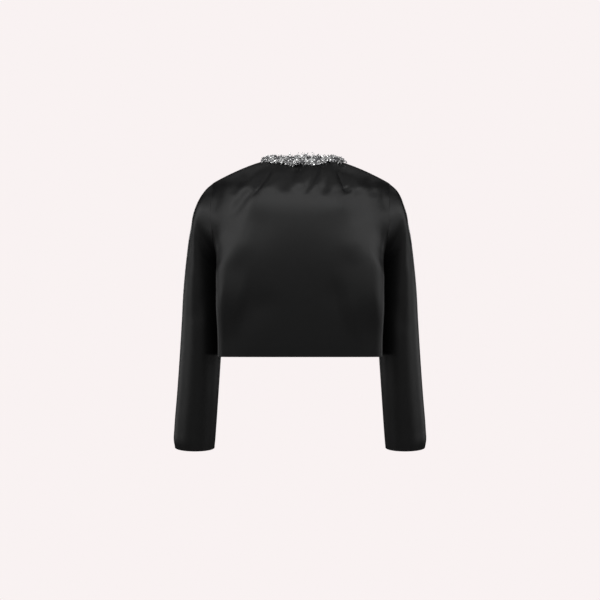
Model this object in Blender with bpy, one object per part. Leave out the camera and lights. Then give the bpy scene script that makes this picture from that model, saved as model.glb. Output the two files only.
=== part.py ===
"""A cropped evening jacket: a hollow shell of satin panels, set-in sleeves and a beaded neck trim.

Units are metres. +Z is up, +Y is the garment's front and +X is the wearer's right.
The origin is on the centre plane, level with the shoulders beside the neck.
"""

import math
from collections import namedtuple

import bmesh
import bpy
import numpy as np

# Cloth
WALL = 0.0016
SEAM_GAP = 0.0004
FRONT_EDGE_GAP = 0.0006
ARMHOLE_GAP = 0.0008
SHOULDER_LEAN = 0.0023
LEAN_FROM_Z, LEAN_TO_Z = -0.100, -0.055

# Neck edge and shoulder seam. A pull is the handle of a curve at that point.
NECK_BACK = (0.0, -0.063, -0.0005)
NECK_SIDE = (0.0775, -0.008, 0.0088)
NECK_FRONT = (0.0, 0.087, -0.080)
SHOULDER_TIP = (0.1955, -0.002, -0.0412)
NECK_BACK_REACH = 0.066
NECK_FRONT_REACH = 0.058
NECK_SIDE_WAY = np.array((0.0, 0.993, -0.120))
NECK_SIDE_PULL_BACK = 0.034
NECK_SIDE_PULL_FRONT = 0.050
SHOULDER_PULL_NECK = (0.038, 0.0, -0.0095)
SHOULDER_PULL_TIP = (-0.034, 0.0, 0.0205)

# How the cloth faces at the middle of the neck edge, runs over the shoulder seam, and how
# firmly it runs on at the top
NECK_BACK_OUT = (0.0, -0.788, 0.616)
NECK_FRONT_OUT = (0.0, 0.850, 0.527)
SHOULDER_WAY = np.array((0.0, 0.995, -0.100))
TOP_ROLL = 0.75

# Which way the armhole leaves the underarm, behind and in front, and how far in that corner tells
UNDERARM_SWEEP_BACK = (0.60, -1.0, 0.20)
UNDERARM_SWEEP_FRONT = (0.15, 1.0, 0.05)
CORNER_COLUMNS = 6

# Mesh density
HALF_COLUMNS = 18
NECK_COLUMNS = 8
BODY_STEPS = (2, 2, 2, 1, 1, 2, 3, 4, 4)
UNDERARM_ROW = 3
SLEEVE_COLUMNS = 28
SLEEVE_STEPS = 2

# Body sections, hem first. mid is the centre line, edge the side seam and then the armhole.
# reach is the length of the flat stretch at the centre, pull the handle at the edge, and firm how
# closely the section keeps to both.
BodyRow = namedtuple(
    "BodyRow",
    "mid_y mid_z reach edge_x edge_y edge_z pull_x pull_y pull_z firm",
    defaults=(1.0,),
)
BACK_ROWS = (
    BodyRow(-0.1165, -0.4267, 0.185, 0.1690, 0.012, -0.4267, 0.0138, -0.124, 0.0, 3.0),
    BodyRow(-0.1200, -0.3600, 0.185, 0.1650, 0.011, -0.3600, 0.0197, -0.126, 0.0, 3.0),
    BodyRow(-0.1235, -0.2900, 0.185, 0.1605, 0.010, -0.2900, 0.0269, -0.128, 0.0, 3.0),
    BodyRow(-0.1260, -0.2280, 0.185, 0.1570, 0.008, -0.2280, 0.0356, -0.128, 0.0, 3.0),
    BodyRow(-0.1264, -0.2080, 0.180, 0.1735, -0.020, -0.2140, 0.0241, -0.088, 0.0, 3.0),
    BodyRow(-0.1265, -0.1850, 0.170, 0.1865, -0.050, -0.1870, 0.0096, -0.048, 0.0, 2.0),
    BodyRow(-0.1250, -0.1400, 0.138, 0.1965, -0.063, -0.1290, -0.010, -0.028, 0.0),
    BodyRow(-0.1205, -0.0950, 0.140, 0.1970, -0.048, -0.0780, -0.028, -0.038, -0.004),
    BodyRow(-0.1085, -0.0520, 0.128, 0.1965, -0.026, -0.0545, -0.034, -0.044, 0.006),
)
FRONT_ROWS = (
    BodyRow(0.1220, -0.4267, 0.124, 0.1690, 0.012, -0.4267, -0.006, 0.070, 0.0),
    BodyRow(0.1265, -0.3600, 0.122, 0.1650, 0.011, -0.3600, -0.008, 0.072, 0.0),
    BodyRow(0.1310, -0.2900, 0.120, 0.1605, 0.010, -0.2900, -0.010, 0.074, 0.0),
    BodyRow(0.1325, -0.2280, 0.117, 0.1570, 0.008, -0.2280, -0.012, 0.076, 0.0),
    BodyRow(0.1312, -0.2130, 0.115, 0.1605, 0.028, -0.2140, -0.013, 0.055, 0.0),
    BodyRow(0.1295, -0.1950, 0.112, 0.1660, 0.050, -0.1900, -0.014, 0.034, 0.0),
    BodyRow(0.1225, -0.1580, 0.106, 0.1760, 0.064, -0.1300, -0.020, 0.026, -0.006),
    BodyRow(0.1110, -0.1240, 0.096, 0.1890, 0.044, -0.0770, -0.034, 0.030, -0.012),
    BodyRow(0.0990, -0.1010, 0.076, 0.1930, 0.022, -0.0540, -0.040, 0.028, 0.0),
)

# Sleeve sections below the armhole. Each is an oval through an outer and an inner point; a bow
# pushes its back or front outwards and drop lowers its back.
SleeveRow = namedtuple(
    "SleeveRow",
    "outer_x outer_y outer_z inner_x inner_y inner_z half_depth back_bow front_bow drop",
)
SLEEVE_ROWS = (
    SleeveRow(0.2150, -0.002, -0.0590, 0.1630, 0.020, -0.2340, 0.0620, 0.028, 0.008, 0.000),
    SleeveRow(0.2335, -0.002, -0.0970, 0.1650, 0.026, -0.2435, 0.0615, 0.026, 0.008, 0.000),
    SleeveRow(0.2455, 0.000, -0.1460, 0.1665, 0.028, -0.2565, 0.0610, 0.019, 0.006, 0.000),
    SleeveRow(0.2540, 0.002, -0.2060, 0.1685, 0.029, -0.2765, 0.0590, 0.012, 0.004, 0.000),
    SleeveRow(0.2613, 0.005, -0.2760, 0.1713, 0.026, -0.3100, 0.0560, 0.006, 0.002, 0.001),
    SleeveRow(0.2657, 0.008, -0.3500, 0.1751, 0.021, -0.3640, 0.0520, 0.001, 0.000, 0.002),
    SleeveRow(0.2707, 0.012, -0.4275, 0.1795, 0.018, -0.4315, 0.0490, 0.000, 0.000, 0.003),
    SleeveRow(0.2770, 0.015, -0.5135, 0.1849, 0.015, -0.5145, 0.0450, 0.000, 0.000, 0.004),
    SleeveRow(0.2835, 0.016, -0.5942, 0.1904, 0.016, -0.5942, 0.0420, 0.000, 0.000, 0.004),
    SleeveRow(0.2846, 0.016, -0.6206, 0.1925, 0.016, -0.6216, 0.0410, 0.000, 0.000, 0.004),
    SleeveRow(0.2818, 0.016, -0.6367, 0.1941, 0.016, -0.6380, 0.0400, 0.000, 0.000, 0.004),
)

# Darts and largest soft folds of the back, seen from behind: both ends, width across and depth.
# As shares of its length, a fold sets in over FOLD_IN about its start, and runs out over FOLD_OUT
# to a point FOLD_PAST beyond its end.
FOLD_IN, FOLD_OUT, FOLD_PAST = 0.50, 0.33, 0.15
Fold = namedtuple("Fold", "x0 z0 x1 z1 width depth")
BACK_FOLDS = (
    Fold(0.074, -0.008, 0.102, -0.057, 0.020, 0.0026),
    Fold(-0.072, -0.006, -0.106, -0.064, 0.020, 0.0026),
    Fold(0.104, -0.060, 0.128, -0.120, 0.036, 0.0022),
    Fold(-0.104, -0.060, -0.140, -0.130, 0.036, 0.0026),
    Fold(0.168, -0.066, 0.186, -0.120, 0.030, 0.0022),
    Fold(-0.166, -0.064, -0.184, -0.124, 0.030, 0.0026),
    Fold(-0.020, -0.050, 0.030, -0.066, 0.040, 0.0014),
)

# Neck trim: a flattened rope of raised beads, lying on the outside of the neck edge and above it.
# Behind, it hangs lower at some clusters, each given by its x and how far it drops.
TRIM_WIDTH = 0.0260
TRIM_THICK = 0.0120
TRIM_FLAT = 0.5
TRIM_CLEARANCE = 0.0009
TRIM_RISE = 0.0030
TRIM_BEAD = 0.20
TRIM_STATIONS = 105
TRIM_SIDES = 12
TRIM_CLUSTERS = ((-0.0225, 0.0055), (0.0290, 0.0070))
CLUSTER_REACH = 0.009

SATIN = (0.012, 0.012, 0.013, 1.0), 0.38, 0.0
CRYSTAL = (0.62, 0.63, 0.64, 1.0), 0.18, 0.85

MIRROR = np.array((-1.0, 1.0, 1.0))

# Each edge of a grid of points, with the row or column next to it
EDGES = {
    "first_column": (np.s_[:, 0], np.s_[:, 1]),
    "last_column": (np.s_[:, -1], np.s_[:, -2]),
    "first_row": (np.s_[0], np.s_[1]),
    "last_row": (np.s_[-1], np.s_[-2]),
}


def clear_scene():
    for obj in list(bpy.data.objects):
        bpy.data.objects.remove(obj, do_unlink=True)


def new_collection(name):
    collection = bpy.data.collections.new(name)
    bpy.context.scene.collection.children.link(collection)
    return collection


def new_material(name, colour, roughness, metallic):
    material = bpy.data.materials.new(name)
    material.use_nodes = True
    shader = material.node_tree.nodes["Principled BSDF"]
    shader.inputs["Base Color"].default_value = colour
    shader.inputs["Roughness"].default_value = roughness
    shader.inputs["Metallic"].default_value = metallic
    material.diffuse_color = colour
    return material


def unit(vectors):
    return vectors / np.linalg.norm(vectors, axis=-1, keepdims=True)


def smooth_step(t):
    t = np.clip(t, 0.0, 1.0)
    return t * t * (3 - 2 * t)


def resample(points, count):
    """The polyline again, with count points evenly spaced along its first three columns."""
    points = np.asarray(points, float)
    steps = np.linalg.norm(np.diff(points[:, :3], axis=0), axis=1)
    along = np.concatenate([[0.0], np.cumsum(steps)])
    at = np.linspace(0, along[-1], count)
    return np.stack([np.interp(at, along, column) for column in points.T], axis=1)


def bezier(start, start_pull, end_pull, end, count, firm=1.0):
    """count points along a cubic curve, evenly spaced by length. firm draws it to its handles."""
    p0, p3 = np.array(start, float), np.array(end, float)
    p1, p2 = p0 + start_pull, p3 + end_pull
    t = np.linspace(0, 1, 200)[:, None]
    shares = ((1 - t) ** 3, 3 * firm * t * (1 - t) ** 2, 3 * firm * t**2 * (1 - t), t**3)
    curve = sum(share * point for share, point in zip(shares, (p0, p1, p2, p3))) / sum(shares)
    return resample(curve, count)


def knots_along(rows):
    """How far each row is from the first, as the mean over its points."""
    steps = np.linalg.norm(np.diff(rows, axis=0), axis=2).mean(axis=1)
    return np.concatenate([[0.0], np.cumsum(steps)])


def loft(rows, knots, steps, arrive, leave):
    """A smooth grid through rows of points, with the slopes at which it meets and leaves each."""
    grid = [rows[0]]
    for i, count in enumerate(steps):
        gap = knots[i + 1] - knots[i]
        for t in np.linspace(0, 1, count + 1)[1:]:
            grid.append(
                rows[i] * (2 * t**3 - 3 * t**2 + 1)
                + leave[i] * gap * (t**3 - 2 * t**2 + t)
                + rows[i + 1] * (3 * t**2 - 2 * t**3)
                + arrive[i + 1] * gap * (t**3 - t**2)
            )
    return np.array(grid)


def normals(grid, ring=False):
    """Unit normals of a grid of points, by the right-hand rule from its columns to its rows."""
    if ring:
        across = np.roll(grid, -1, axis=1) - np.roll(grid, 1, axis=1)
    else:
        across = np.gradient(grid, axis=1)
    return unit(np.cross(across, np.gradient(grid, axis=0)))


def body_section(row):
    """One half section of the body, from the centre line out to the side seam or armhole."""
    mid = (0.0, row.mid_y, row.mid_z)
    edge = (row.edge_x, row.edge_y, row.edge_z)
    edge_pull = (row.pull_x, row.pull_y, row.pull_z)
    return bezier(mid, (row.reach, 0.0, 0.0), edge_pull, edge, HALF_COLUMNS + 1, row.firm)


def top_section(neck_mid, reach, side_pull):
    """The neck edge from the centre line to the side of the neck, then the shoulder seam."""
    side_handle = NECK_SIDE_WAY * side_pull
    neck = bezier(neck_mid, (reach, 0.0, 0.0), side_handle, NECK_SIDE, NECK_COLUMNS + 1)
    count = HALF_COLUMNS - NECK_COLUMNS + 1
    shoulder = bezier(NECK_SIDE, SHOULDER_PULL_NECK, SHOULDER_PULL_TIP, SHOULDER_TIP, count)
    return np.concatenate([neck, shoulder[1:]])


def top_outward(top, middle_out, forward):
    """The cloth's outward normals along the neck edge and the shoulder seam."""
    neck, shoulder = top[: NECK_COLUMNS + 1], top[NECK_COLUMNS:]
    tangent = unit(np.gradient(neck, axis=0))
    tangent[0], tangent[-1] = (1.0, 0.0, 0.0), NECK_SIDE_WAY * forward
    side_out = unit(np.cross(SHOULDER_PULL_NECK, NECK_SIDE_WAY))
    turn = smooth_step(np.linspace(0, 1, NECK_COLUMNS + 1))[:, None]
    neck_out = np.array(middle_out) * (1 - turn) + side_out * turn
    neck_out = unit(neck_out - tangent * (neck_out * tangent).sum(axis=1, keepdims=True))
    shoulder_out = unit(np.cross(np.gradient(shoulder, axis=0), SHOULDER_WAY))
    return np.concatenate([neck_out, shoulder_out[1:]])


def top_slope(below, top, top_out):
    """Which way the cloth runs as it reaches each point of the top section."""
    rise = top - below
    level = rise - top_out * (rise * top_out).sum(axis=1, keepdims=True)
    return unit(level) * np.linalg.norm(rise, axis=1, keepdims=True) * TOP_ROLL


def half_panel(rows, knots, sweep, top_out):
    """A half panel through its rows, with a corner where the side seam becomes the armhole."""
    leave = np.gradient(rows, knots, axis=0)
    leave[-1] = top_slope(rows[-2], rows[-1], top_out) / (knots[-1] - knots[-2])
    arrive = leave.copy()
    column = np.arange(HALF_COLUMNS + 1) - HALF_COLUMNS
    corner = smooth_step(1 + column / CORNER_COLUMNS)[:, None]
    u = UNDERARM_ROW
    below = (rows[u] - rows[u - 1]) / (knots[u] - knots[u - 1])
    arrive[u] += (below - arrive[u]) * corner
    leave[u] += (np.array(sweep) - leave[u]) * corner
    return loft(rows, knots, BODY_STEPS, arrive, leave)


def half_body():
    """The right half of the back and the right front, from the centre line out, with normals."""
    back = [body_section(row) for row in BACK_ROWS]
    back.append(top_section(NECK_BACK, NECK_BACK_REACH, -NECK_SIDE_PULL_BACK))
    front = [body_section(row) for row in FRONT_ROWS]
    front.append(top_section(NECK_FRONT, NECK_FRONT_REACH, NECK_SIDE_PULL_FRONT))
    back, front = np.array(back), np.array(front)
    knots = knots_along(back)
    back_top = top_outward(back[-1], NECK_BACK_OUT, 1.0)
    front_top = top_outward(front[-1], NECK_FRONT_OUT, -1.0)
    back = half_panel(back, knots, UNDERARM_SWEEP_BACK, back_top)
    front = half_panel(front, knots, UNDERARM_SWEEP_FRONT, front_top)
    out_back, out_front = normals(back), -normals(front)
    out_back[-1], out_front[-1] = back_top, front_top
    side = np.s_[: sum(BODY_STEPS[:UNDERARM_ROW]) + 1, -1]
    out_back[side] = out_front[side] = unit(out_back[side] + out_front[side])
    return back, front, out_back, out_front


def with_folds(grid, out, folds):
    """Presses each fold into the grid as a soft trough that fades out towards both ends."""
    push = np.zeros(grid.shape[:2])
    x, z = grid[..., 0], grid[..., 2]
    for fold in folds:
        line_x, line_z = fold.x1 - fold.x0, fold.z1 - fold.z0
        length = math.hypot(line_x, line_z)
        along = ((x - fold.x0) * line_x + (z - fold.z0) * line_z) / length**2
        across = ((z - fold.z0) * line_x - (x - fold.x0) * line_z) / length
        fade = smooth_step(along / FOLD_IN + 0.5) * smooth_step((1 + FOLD_PAST - along) / FOLD_OUT)
        push -= fold.depth * fade * np.exp(-((2 * across / fold.width) ** 2))
    return grid + out * push[..., None]


def trimmed(grid, insets):
    """Draws the named edges of a grid back along the cloth."""
    grid = grid.copy()
    for name, inset in insets.items():
        edge, inner = EDGES[name]
        grid[edge] += unit(grid[inner] - grid[edge]) * inset
    return grid


def solid(name, mesh_build, material, collection):
    mesh = bpy.data.meshes.new(name)
    mesh_build.to_mesh(mesh)
    mesh_build.free()
    mesh.materials.append(material)
    mesh.shade_smooth()
    obj = bpy.data.objects.new(name, mesh)
    collection.objects.link(obj)
    return obj


def leaned(points):
    """The shoulders hang a little to the wearer's right of the hem."""
    lean = smooth_step((points[..., 2] - LEAN_FROM_Z) / (LEAN_TO_Z - LEAN_FROM_Z))
    return points + lean[..., None] * (SHOULDER_LEAN, 0.0, 0.0)


def two_triangles(low, next_low, next_high, high):
    """A square of points cut along its shorter diagonal, as places in the square."""
    if np.linalg.norm(next_high - low) <= np.linalg.norm(high - next_low):
        return (0, 1, 2), (0, 2, 3)
    return (0, 1, 3), (1, 2, 3)


def cloth(name, grid, out, material, collection, ring=False):
    """A wall of cloth on a grid of points; a ring joins its last column to its first."""
    grid = leaned(grid)
    build = bmesh.new()
    outer = [[build.verts.new(p) for p in row] for row in grid + out * WALL / 2]
    inner = [[build.verts.new(p) for p in row] for row in grid - out * WALL / 2]
    rows, columns = grid.shape[:2]
    pairs = [(j, (j + 1) % columns) for j in range(columns if ring else columns - 1)]
    for i in range(rows - 1):
        for j, k in pairs:
            square = (i, j), (i, k), (i + 1, k), (i + 1, j)
            for corners in two_triangles(*(grid[place] for place in square)):
                places = [square[corner] for corner in corners]
                build.faces.new([outer[row][column] for row, column in places])
                build.faces.new([inner[row][column] for row, column in reversed(places)])
        if not ring:
            build.faces.new((inner[i][0], outer[i][0], outer[i + 1][0], inner[i + 1][0]))
            build.faces.new((outer[i][-1], inner[i][-1], inner[i + 1][-1], outer[i + 1][-1]))
    for j, k in pairs:
        build.faces.new((inner[0][j], inner[0][k], outer[0][k], outer[0][j]))
        build.faces.new((outer[-1][j], outer[-1][k], inner[-1][k], inner[-1][j]))
    return solid(name, build, material, collection)


def make_back(half, half_out, material, collection):
    grid = np.concatenate([(half * MIRROR)[:, :0:-1], half], axis=1)
    out = np.concatenate([(half_out * MIRROR)[:, :0:-1], half_out], axis=1)
    grid = with_folds(grid, out, BACK_FOLDS)
    seam = SEAM_GAP / 2
    grid = trimmed(grid, {"first_column": seam, "last_column": seam, "last_row": seam})
    cloth("back", grid, out, material, collection)


def make_front(name, side, half, half_out, material, collection):
    seam = SEAM_GAP / 2
    insets = {"first_column": FRONT_EDGE_GAP / 2, "last_column": seam, "last_row": seam}
    grid, out = trimmed(half, insets), half_out
    if side > 0:
        grid, out = grid[:, ::-1], out[:, ::-1]
    else:
        grid, out = grid * MIRROR, out * MIRROR
    cloth(name, grid, out, material, collection)


def armhole(back, front, out_back, out_front):
    """The right armhole as a loop of points and body normals: down the back, then up the front."""
    edge = np.s_[sum(BODY_STEPS[:UNDERARM_ROW]) :, -1]
    count = SLEEVE_COLUMNS // 2 + 1
    down_back = np.concatenate([back[edge], out_back[edge]], axis=1)[::-1]
    up_front = np.concatenate([front[edge], out_front[edge]], axis=1)
    loop = np.concatenate([resample(down_back, count)[:-1], resample(up_front, count)[:-1]])
    return loop[:, :3], unit(loop[:, 3:])


def sleeve_section(row):
    """An oval ring of points, from the outer side round the back, the inside and the front."""
    turn = np.arange(SLEEVE_COLUMNS) * 2 * math.pi / SLEEVE_COLUMNS
    outer = np.array((row.outer_x, row.outer_y, row.outer_z))
    inner = np.array((row.inner_x, row.inner_y, row.inner_z))
    backward = np.sin(turn)
    ring = (outer + inner) / 2 + np.cos(turn)[:, None] * (outer - inner) / 2
    ring[:, 0] += np.where(backward > 0, row.back_bow, row.front_bow) * backward**2
    ring[:, 1] -= row.half_depth * backward
    ring[:, 2] -= row.drop * backward
    return ring


def clear_of_body(loop, out, towards):
    """Moves the sleeve's first ring off the body's edge, more where the sleeve turns back on it."""
    tangent = unit(np.roll(loop, -1, axis=0) - np.roll(loop, 1, axis=0))
    straight_on = unit(np.cross(out, tangent))
    ahead = unit(towards - loop)
    turned = 1 - (straight_on * ahead).sum(axis=1, keepdims=True)
    return loop + ahead * ARMHOLE_GAP + out * turned * (WALL + ARMHOLE_GAP) / 2


def make_sleeve(name, side, loop, out, material, collection):
    rings = [sleeve_section(row) for row in SLEEVE_ROWS]
    rings = np.array([clear_of_body(loop, out, rings[0])] + rings)
    knots = knots_along(rings)
    slope = np.gradient(rings, knots, axis=0)
    grid = loft(rings, knots, (SLEEVE_STEPS,) * len(SLEEVE_ROWS), slope, slope)
    if side < 0:
        grid = (grid * MIRROR)[:, ::-1]
    cloth(name, grid, normals(grid, ring=True), material, collection, ring=True)


def neck_edge(back, front, out_back, out_front):
    """Points and outward normals along the whole neck edge, from one front edge to the other."""
    neck = np.s_[-1, : NECK_COLUMNS + 1]
    behind = np.concatenate([back[neck], out_back[neck]], axis=1)
    ahead = np.concatenate([front[neck], out_front[neck]], axis=1)
    right = np.concatenate([behind, ahead[-2::-1]])
    left = right[:0:-1] * np.concatenate([MIRROR, MIRROR])
    edge = resample(np.concatenate([left, right]), TRIM_STATIONS)
    return edge[:, :3], unit(edge[:, 3:])


def trim_grid(points, out):
    """Rings of points round the trim, every second point drawn in so that the others are beads."""
    above = unit(np.cross(out, unit(np.gradient(points, axis=0))))
    lift = WALL / 2 + TRIM_CLEARANCE + TRIM_THICK * TRIM_FLAT / 2
    centre = leaned(points) + out * lift + above * TRIM_RISE
    drop = np.zeros(TRIM_STATIONS)
    for x, depth in TRIM_CLUSTERS:
        near = np.exp(-(((points[:, 0] - x) / CLUSTER_REACH) ** 2))
        drop += np.where(points[:, 1] < 0, depth * near, 0.0)
    turn = np.linspace(0, 2 * math.pi, TRIM_SIDES, endpoint=False)
    across = np.cos(turn) * TRIM_WIDTH / 2 + np.minimum(np.cos(turn), 0.0) * drop[:, None]
    outwards = np.sin(turn).clip(-TRIM_FLAT) * TRIM_THICK / 2
    profile = above[:, None] * across[..., None] + out[:, None] * outwards[:, None]
    station, side = np.indices(across.shape)
    bead = 1.0 - TRIM_BEAD * ((station + side) % 2)
    return centre[:, None] + profile * bead[..., None]


def make_trim(points, out, material, collection):
    grid = trim_grid(points, out)
    build = bmesh.new()
    rings = [[build.verts.new(p) for p in ring] for ring in grid]
    for i in range(TRIM_STATIONS - 1):
        for j in range(TRIM_SIDES):
            k = (j + 1) % TRIM_SIDES
            square = (i, j), (i, k), (i + 1, k), (i + 1, j)
            for corners in two_triangles(*(grid[place] for place in square)):
                places = [square[corner] for corner in corners]
                build.faces.new([rings[row][column] for row, column in places])
    build.faces.new(rings[0][::-1])
    build.faces.new(rings[-1])
    solid("neck_trim", build, material, collection)


def main():
    clear_scene()
    jacket = new_collection("evening_jacket")
    back, front, out_back, out_front = half_body()
    loop, loop_out = armhole(back, front, out_back, out_front)
    make_back(back, out_back, new_material("back_satin", *SATIN), jacket)
    for name, side in (("left", -1.0), ("right", 1.0)):
        front_satin = new_material(f"front_{name}_satin", *SATIN)
        sleeve_satin = new_material(f"sleeve_{name}_satin", *SATIN)
        make_front(f"front_{name}", side, front, out_front, front_satin, jacket)
        make_sleeve(f"sleeve_{name}", side, loop, loop_out, sleeve_satin, jacket)
    points, out = neck_edge(back, front, out_back, out_front)
    make_trim(points, out, new_material("neck_trim_crystal", *CRYSTAL), jacket)


main()
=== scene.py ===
"""The evening jacket dressed for its picture: satin shells with soft creases, a crystal neck trim,
studio light and the camera.

Units are metres, in the part's own frame: +Z up, +Y the garment's front, +X the wearer's right.
"""

import math
from collections import namedtuple

import bpy
import numpy as np
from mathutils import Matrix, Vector


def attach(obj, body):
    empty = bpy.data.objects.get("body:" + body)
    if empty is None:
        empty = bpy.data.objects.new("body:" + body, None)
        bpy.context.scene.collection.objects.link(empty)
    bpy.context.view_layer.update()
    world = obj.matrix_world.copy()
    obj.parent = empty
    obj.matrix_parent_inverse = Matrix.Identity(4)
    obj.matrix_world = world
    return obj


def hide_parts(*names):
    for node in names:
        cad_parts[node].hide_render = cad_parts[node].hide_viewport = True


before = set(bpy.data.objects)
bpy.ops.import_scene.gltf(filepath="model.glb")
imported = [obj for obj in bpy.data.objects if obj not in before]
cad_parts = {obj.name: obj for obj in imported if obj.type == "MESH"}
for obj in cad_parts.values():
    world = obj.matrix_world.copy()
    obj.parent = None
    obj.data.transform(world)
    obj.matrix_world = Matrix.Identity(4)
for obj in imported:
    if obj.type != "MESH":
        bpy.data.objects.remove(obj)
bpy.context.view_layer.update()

# Picture: a level camera behind the jacket, and how much it sees across at the origin's distance
CAMERA_DISTANCE = 3.0
CAMERA_HEIGHT = -0.30375
VIEW_WIDTH = 1.35
SENSOR_WIDTH_MM = 36.0
BACKDROP = (0.947, 0.888, 0.888, 1.0)
FLOOR_Z = -1.35
FLOOR_RADIUS = 1.6
FLOOR_SIDES = 64
FLOOR_GLOW = 0.33
ROOM_LIGHT = 0.02
ROOM_COLOUR = (1.0, 1.0, 1.0, 1.0)

# Softboxes, each facing the jacket: bearing from the camera's side and height in degrees,
# distance, size across and up, and brightness
AIM = Vector((0.0, 0.0, -0.20))
Softbox = namedtuple("Softbox", "name bearing height distance across up power")
SOFTBOXES = (
    Softbox("key", 0.0, 31.0, 2.6, 2.2, 0.6, 24.6),
    Softbox("key_left", -48.0, 29.5, 2.6, 1.5, 0.9, 10.2),
    Softbox("key_right", 48.0, 29.5, 2.6, 1.5, 0.9, 10.2),
    Softbox("side_left", -68.0, 12.0, 2.6, 2.1, 2.2, 26.0),
    Softbox("side_right", 68.0, 12.0, 2.6, 2.1, 2.2, 26.0),
    Softbox("edge_left", -115.0, -5.0, 2.6, 1.4, 0.8, 4.4),
    Softbox("edge_right", 115.0, -5.0, 2.6, 1.4, 0.8, 4.4),
    Softbox("top", 0.0, 76.0, 2.6, 3.8, 1.0, 9.5),
    Softbox("front", 0.0, 9.0, 3.4, 3.0, 1.6, 6.8),
    Softbox("low", 0.0, -25.0, 2.6, 3.0, 0.6, 2.0),
    Softbox("far", 180.0, 6.0, 2.6, 2.4, 1.0, 23.8),
    Softbox("far_top", 180.0, 58.0, 2.6, 3.0, 1.4, 4.5),
)

# The wearer's sides, by the sign of x
LEFT = -1.0
RIGHT = 1.0

# Cloth, in the solids' form. FINER multiplies the solids' rows and columns, and edges that turn by
# more than SHARP_TURN are shaded as sharp. The shoulders hang to the wearer's right of the hem by
# SHOULDER_LEAN, which sets in between two heights.
FINER = 6
WALL = 0.0016
SEAM_GAP = 0.0001
FRONT_EDGE_GAP = 0.0006
ARMHOLE_GAP = 0.0002
RIM_BULGE = 0.0006
SHARP_TURN = math.radians(35)
CURVE_SAMPLES = 1000
SHOULDER_LEAN = 0.0023
LEAN_FROM_Z, LEAN_TO_Z = -0.100, -0.055

# Neck edge and shoulder seam. A pull is the handle of a curve at that point.
NECK_BACK = (0.0, -0.063, -0.0005)
NECK_SIDE = (0.0775, -0.008, 0.0088)
NECK_FRONT = (0.0, 0.087, -0.080)
SHOULDER_TIP = (0.1955, -0.002, -0.0412)
NECK_BACK_REACH = 0.066
NECK_FRONT_REACH = 0.058
NECK_SIDE_WAY = np.array((0.0, 0.993, -0.120))
NECK_SIDE_PULL_BACK = 0.034
NECK_SIDE_PULL_FRONT = 0.050
SHOULDER_PULL_NECK = (0.038, 0.0, -0.0095)
SHOULDER_PULL_TIP = (-0.034, 0.0, 0.0205)

# How the cloth faces at the middle of the neck edge, runs over the shoulder seam, and how
# firmly it runs on at the top
NECK_BACK_OUT = (0.0, -0.788, 0.616)
NECK_FRONT_OUT = (0.0, 0.850, 0.527)
SHOULDER_WAY = np.array((0.0, 0.995, -0.100))
TOP_ROLL = 0.75

# Which way the armhole leaves the underarm, behind and in front, and how far in that corner tells
UNDERARM_SWEEP_BACK = (0.60, -1.0, 0.20)
UNDERARM_SWEEP_FRONT = (0.15, 1.0, 0.05)
CORNER_COLUMNS = 6 * FINER

HALF_COLUMNS = 18 * FINER
NECK_COLUMNS = 8 * FINER
BODY_STEPS = tuple(steps * FINER for steps in (2, 2, 2, 1, 1, 2, 3, 4, 4))
UNDERARM_ROW = 3
SLEEVE_COLUMNS = 28 * FINER
SLEEVE_STEPS = 2 * FINER

# How often the body is evened up and down between its sections, and over how many columns that
# sets in from the side seam and armhole
EASE_PASSES = 40
EASE_COLUMNS = 3 * FINER

# Body sections, hem first. mid is the centre line, edge the side seam and then the armhole.
# reach is the length of the flat stretch at the centre, pull the handle at the edge, and firm how
# closely the section keeps to both.
BodyRow = namedtuple(
    "BodyRow",
    "mid_y mid_z reach edge_x edge_y edge_z pull_x pull_y pull_z firm",
    defaults=(1.0,),
)
BACK_ROWS = (
    BodyRow(-0.1165, -0.4267, 0.185, 0.1690, 0.012, -0.4267, 0.0138, -0.124, 0.0, 3.0),
    BodyRow(-0.1200, -0.3600, 0.185, 0.1650, 0.011, -0.3600, 0.0197, -0.126, 0.0, 3.0),
    BodyRow(-0.1235, -0.2900, 0.185, 0.1605, 0.010, -0.2900, 0.0283, -0.128, 0.0, 2.6),
    BodyRow(-0.1260, -0.2280, 0.185, 0.1570, 0.008, -0.2280, 0.0408, -0.128, 0.0, 2.0),
    BodyRow(-0.1264, -0.2080, 0.180, 0.1735, -0.020, -0.2140, 0.0277, -0.088, 0.0, 2.0),
    BodyRow(-0.1265, -0.1850, 0.170, 0.1865, -0.050, -0.1870, 0.0109, -0.048, 0.0, 1.5),
    BodyRow(-0.1250, -0.1400, 0.138, 0.1965, -0.063, -0.1290, -0.026, -0.024, 0.0),
    BodyRow(-0.1205, -0.0950, 0.140, 0.1970, -0.048, -0.0780, -0.042, -0.032, -0.004),
    BodyRow(-0.1085, -0.0520, 0.128, 0.1965, -0.026, -0.0545, -0.034, -0.044, 0.006),
)
FRONT_ROWS = (
    BodyRow(0.1220, -0.4267, 0.124, 0.1690, 0.012, -0.4267, -0.006, 0.070, 0.0),
    BodyRow(0.1265, -0.3600, 0.122, 0.1650, 0.011, -0.3600, -0.008, 0.072, 0.0),
    BodyRow(0.1310, -0.2900, 0.120, 0.1605, 0.010, -0.2900, -0.010, 0.074, 0.0),
    BodyRow(0.1325, -0.2280, 0.117, 0.1570, 0.008, -0.2280, -0.012, 0.076, 0.0),
    BodyRow(0.1312, -0.2130, 0.115, 0.1605, 0.028, -0.2140, -0.013, 0.055, 0.0),
    BodyRow(0.1295, -0.1950, 0.112, 0.1660, 0.050, -0.1900, -0.014, 0.034, 0.0),
    BodyRow(0.1225, -0.1580, 0.106, 0.1760, 0.064, -0.1300, -0.020, 0.026, -0.006),
    BodyRow(0.1110, -0.1240, 0.096, 0.1890, 0.044, -0.0770, -0.034, 0.030, -0.012),
    BodyRow(0.0990, -0.1010, 0.076, 0.1930, 0.022, -0.0540, -0.040, 0.028, 0.0),
)

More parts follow.
